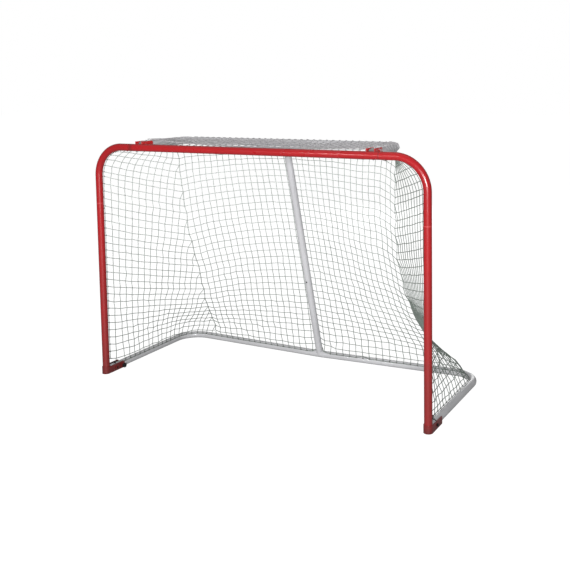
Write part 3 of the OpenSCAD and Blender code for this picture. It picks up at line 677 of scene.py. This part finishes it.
def hang(steps):
    """Lets the net hang: cords pull but don't push, the weight draws every loose point down."""
    keeps_moving, weight, stiffness = 0.97, 3e-7, 0.12
    place = np.array(knot_at)
    free = (~np.array(knot_held)).astype(float)
    pulls = []
    for way in ("row", "column", "seam", "edge"):
        chosen = [b for b in bars if b[0] == way]
        a, m, b = (np.array([c[k] for c in chosen]) for k in (1, 2, 3))
        length = np.array([c[4] for c in chosen]) / 2
        for p, q in ((a, m), (m, b)):
            give = free[p] + free[q]
            ok = give > 0
            pulls.append((p[ok], q[ok], length[ok], (free[p] / np.maximum(give, 1))[ok][:, None],
                          (free[q] / np.maximum(give, 1))[ok][:, None]))
    ends = np.array([(b[1], b[2], b[3]) for b in bars])
    before = place.copy()
    for step in range(steps):
        speed = (place - before) * keeps_moving
        before = place.copy()
        place += speed * free[:, None]
        place[:, 2] -= weight * free
        for turn_ in range(2):
            between_ends = (place[ends[:, 0]] + place[ends[:, 2]]) / 2
            place[ends[:, 1]] += (between_ends - place[ends[:, 1]]) * stiffness
            for p, q, length, p_share, q_share in pulls:
                d = place[q] - place[p]
                far_apart = np.sqrt((d * d).sum(1))
                d *= (np.maximum(far_apart - length, 0) / np.maximum(far_apart, 1e-9))[:, None]
                place[p] += d * p_share
                place[q] -= d * q_share
        if step % 10 == 0 or step > steps - 3:
            moved = place.copy()
            push_out_of_tubes(moved)
            touched = (free > 0) & (abs(moved - place).max(1) > 0)
            place[touched] = before[touched] = moved[touched]
            place[:, 2] = np.maximum(place[:, 2], twine_r)
    return place


# ---------------------------------------------------------------------------------------------
# The net, its twine: round braided polyester of 3.7 mm with a hard tight knot at every crossing,
# off-white, with painted shade towards the floor and painted light along the top. The right panel's
# twine is a darker copy, painted shade. The side and back panels are joined by a thicker, doubled
# cord, the seam.

net_place = hang(600)


def smooth_course(points, steps):
    """Points along a soft curve through a cord's knots and middles."""
    p = np.concatenate([[2 * points[0] - points[1]], points, [2 * points[-1] - points[-2]]])
    share_ = (np.arange(steps) / steps)[:, None, None]
    a, b, c, d = p[:-3], p[1:-2], p[2:-1], p[3:]
    course_ = 0.5 * (2 * b + (c - a) * share_ + (2 * a - 5 * b + 4 * c - d) * share_ ** 2
                     + (3 * b - a - 3 * c + d) * share_ ** 3)
    return np.concatenate([course_.transpose(1, 0, 2).reshape(-1, 3), points[-1:]])


def twine_skin(course_, radius):
    """Corners and faces of one cord along a course, six-sided and closed at both ends."""
    sides = 6
    ahead = np.gradient(course_, axis=0)
    ahead /= np.maximum(np.linalg.norm(ahead, axis=1), 1e-9)[:, None]
    over = np.tile([0.31, 0.24, 0.92], (len(course_), 1))
    lying = abs((ahead * over).sum(1)) > 0.9
    over[lying] = [0.92, 0.31, 0.24]
    across = np.cross(ahead, over)
    across /= np.linalg.norm(across, axis=1)[:, None]
    over = np.cross(across, ahead)
    turn_ = np.arange(sides) * 2 * math.pi / sides
    ring = (across[:, None] * np.cos(turn_)[None, :, None]
            + over[:, None] * np.sin(turn_)[None, :, None])
    corners_ = (course_[:, None] + radius * ring).reshape(-1, 3)
    n = len(course_)
    i, k = np.meshgrid(np.arange(n - 1), np.arange(sides), indexing="ij")
    first, second = i * sides + k, i * sides + (k + 1) % sides
    skin = np.stack([first, second, second + sides, first + sides], -1).reshape(-1, 4)
    ends = [list(range(sides))[::-1], list(range((n - 1) * sides, n * sides))]
    return corners_, skin.tolist() + ends


# A knot: a small lump a little wider than the twine, flattened along the net
knot_form = bmesh.new()
bmesh.ops.create_icosphere(knot_form, subdivisions=1, radius=1.0)
knot_corners = np.array([v.co[:] for v in knot_form.verts])
knot_faces = [[v.index for v in f.verts] for f in knot_form.faces]
knot_form.free()


def panel_mesh(name, cords, cord_radius, knots_at):
    """One mesh of a panel's cords and knots."""
    corners_, faces_, count = [], [], 0
    for points, radius in cords:
        c_, f_ = twine_skin(smooth_course(points, 2), radius)
        corners_.append(c_)
        faces_ += [[v + count for v in f] for f in f_]
        count += len(c_)
    dice = np.random.default_rng(7)
    for p in knots_at:
        size_ = cord_radius * dice.uniform(1.55, 1.85)
        turned = np.array(Matrix.Rotation(dice.uniform(0, 6.3), 3,
                                          Vector(dice.normal(size=3)).normalized()))
        corners_.append(p + (knot_corners * [size_, size_, size_ * 0.85]) @ turned.T)
        faces_ += [[v + count for v in f] for f in knot_faces]
        count += len(knot_corners)
    mesh_ = bpy.data.meshes.new(name)
    mesh_.from_pydata(np.concatenate(corners_).tolist(), [], faces_)
    mesh_.polygons.foreach_set("use_smooth", [True] * len(mesh_.polygons))
    mesh_.update()
    piece = bpy.data.objects.new(name, mesh_)
    bpy.context.scene.collection.objects.link(piece)
    return piece


def cord_runs(panel):
    """Joins a panel's bars end to end into whole cords and returns their points."""
    after = {}
    for way, a, m, b in panels[panel]:
        after.setdefault((way, a), []).append((m, b))
    arrives = {(way, b) for way, a, m, b in panels[panel]}
    runs = []
    for way, a in [k for k in after if k not in arrives]:
        run = [a]
        while (way, run[-1]) in after and after[(way, run[-1])]:
            m, b = after[(way, run[-1])].pop()
            run += [m, b]
        runs.append((way, run))
    return runs


def twine_finish(name, clean, grey):
    """Off-white braided polyester: strand pattern, soiled in patches, with painted shade in the
    braid's creases and towards the floor and painted light along the top.
    """
    material, t, shader = finish_node(name, specular=0.25)
    strands = cells(t, 900, (1, 1, 0.6))
    tone = blend_colour(t, between(t, noise(t, 5, 6), 0.35, 0.7), clean, grey)
    # Painted shade in the creases between the braid's strands
    crease_shade = between(t, strands, 0.1, 0.7, 0.0, 0.3)
    tone = blend_colour(t, crease_shade, tone, rgb(98, 107, 101))
    # Painted shade, darker towards the floor
    low_net_shade = add_group(t, "low_shade", {"Top": 1.0, "Strength": 0.95})
    tone = blend_colour(t, low_net_shade.outputs["Mask"], tone, rgb(102, 113, 105))
    # Painted light: the band along the top is drawn paler
    upper = between(t, axes(t)["Z"], 1.19, 1.24, 0.0, 0.8)
    tone = blend_colour(t, upper, tone, rgb(192, 188, 192))
    t.links.new(tone, shader.inputs["Base Color"])
    t.links.new(between(t, strands, 0.0, 0.8, 0.72, 0.9), shader.inputs["Roughness"])
    shader.inputs["Sheen Weight"].default_value = 0.2
    relief(t, shader, strands, 0.5, 0.0004)
    return material


braided_twine = twine_finish("braided_twine", rgb(209, 215, 211), rgb(185, 193, 188))
# The right panel's twine: a darker copy, painted shade.
shaded_twine = twine_finish("shaded_twine", rgb(148, 158, 151), rgb(126, 136, 129))

for panel in panels:
    cords, crossings = [], set()
    for way, run in cord_runs(panel):
        cords.append((net_place[run], twine_r * (1.2 if way == "seam" else 1.0)))
        crossings.update(run[::2])
    piece = panel_mesh(panel.replace("net", "netting"), cords, twine_r,
                       net_place[sorted(crossings)])
    piece.data.materials.append(shaded_twine if panel == "net_right" else braided_twine)
    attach(piece, "frame")
    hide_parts(panel)

# ---------------------------------------------------------------------------------------------
# Corner ties: thin black cord over each rail's end, between the bracket's cheeks. It holds the
# net's lowest corner down: two turns, a double knot on top and two short loose ends.

tie_thick = 0.0015
tie_y, turn_apart = 0.0600, 0.0031      # the first turn's place behind the post, and the step on


def dark_cord(name):
    """Black braided cord, greyed a little by dust."""
    material, t, shader = finish_node(name, specular=0.25)
    weave = cells(t, 1100)
    tone = blend_colour(t, between(t, weave, 0.1, 0.8), rgb(38, 39, 38), rgb(22, 22, 23))
    t.links.new(tone, shader.inputs["Base Color"])
    t.links.new(between(t, weave, 0.0, 0.8, 0.68, 0.88), shader.inputs["Roughness"])
    relief(t, shader, weave, 0.5, 0.0004)
    return material


black_cord = dark_cord("black_cord")
for hand, label in ((-1, "left"), (1, "right")):
    reach = tube_r + tie_thick + 0.0002
    strands_ = []
    for turn_ in range(2):
        a = np.radians(np.linspace(40, 140, 11))
        over_rail = np.stack([hand * post_x + reach * np.cos(a),
                              mouth_y + tie_y + turn_apart * turn_ + 0.001 * np.sin(a),
                              rail_z + reach * np.sin(a)], 1)
        strands_.append((over_rail, tie_thick))
    top = np.array([hand * (post_x - 0.007), mouth_y + 0.0615, rail_z + reach + tie_thick])
    for lean_ in (-1, 1):
        tail = [top, top + [0.003 * lean_, -0.003, 0.004], top + [0.006 * lean_, -0.008, 0.006],
                top + [0.008 * lean_, -0.013, 0.004], top + [0.009 * lean_, -0.018, 0.001]]
        strands_.append((np.array(tail), tie_thick * 0.9))
    lumps = [top, top + [0.002, 0.003, 0.002], top + [-0.002, -0.001, 0.003]]
    piece = panel_mesh("corner_tie_" + label, strands_, tie_thick * 1.5, lumps)
    piece.data.materials.append(black_cord)
    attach(piece, "frame")

# ---------------------------------------------------------------------------------------------
# Studio: a plain pale floor and soft light, most of it from a large panel in front. Weak panels
# above, low down and behind fill the shadows, and a narrow one draws the gloss along the tubes.

floor_mesh = bpy.data.meshes.new("floor")
shape = bmesh.new()
bmesh.ops.create_grid(shape, x_segments=8, y_segments=8, size=30)
shape.to_mesh(floor_mesh)
shape.free()
floor = bpy.data.objects.new("floor", floor_mesh)
floor.location = (0, 0, -0.0005)
bpy.context.scene.collection.objects.link(floor)
material, t, shader = finish_node("floor_white", specular=0.1)
dusty = blend_colour(t, noise(t, 2, 3), rgb(140, 140, 140), rgb(134, 134, 135))
t.links.new(dusty, shader.inputs["Base Color"])
shader.inputs["Roughness"].default_value = 0.95
seen = part(t, "ShaderNodeLightPath").outputs["Is Camera Ray"]
bright = blend_colour(t, seen, rgb(90, 90, 90), rgb(249, 249, 249))
t.links.new(bright, shader.inputs["Emission Color"])
shader.inputs["Emission Strength"].default_value = 1.0
floor.data.materials.append(material)

# The room: plain white as seen, but darker towards the sides as a source of light
world = bpy.data.worlds.new("studio")
world.use_nodes = True
t = world.node_tree
backdrop = t.nodes["Background"]
backdrop.inputs["Color"].default_value = (1, 1, 1, 1)
room_light = between(t, axes(t, "Generated")["Z"], -0.05, 0.95, 0.15, 0.27)
seen = part(t, "ShaderNodeLightPath").outputs["Is Camera Ray"]
strength = part(t, "ShaderNodeMix", {0: seen, 2: room_light, 3: 1.0}, data_type="FLOAT")
t.links.new(strength.outputs[0], backdrop.inputs["Strength"])
bpy.context.scene.world = world
bpy.context.scene.view_settings.view_transform = "Standard"


def soft_light(name, place, aim, width, height_, watts):
    """A soft panel light that points at a place."""
    data = bpy.data.lights.new(name, "AREA")
    data.shape, data.size, data.size_y, data.energy = "RECTANGLE", width, height_, watts
    light = bpy.data.objects.new(name, data)
    light.location = place
    light.rotation_euler = (Vector(aim) - Vector(place)).to_track_quat("-Z", "Y").to_euler()
    bpy.context.scene.collection.objects.link(light)


soft_light("key_light", (3.6, -7.3, 2.1), (0, 0, 0.6), 2.2, 1.6, 448)
soft_light("high_light", (-0.5, -0.5, 5.0), (0, 0, 0), 4.0, 4.0, 10)
soft_light("low_light", (1.3, -3.2, 1.2), (-0.9, 0.1, 0.0), 1.0, 0.6, 30)
soft_light("rear_light", (-1.0, 6.0, 1.6), (0, 0, 0.6), 3.0, 2.0, 45)
soft_light("strip_light", (-1.6, -4.9, 1.72), (0.3, -0.4, 1.1), 1.0, 0.09, 34)
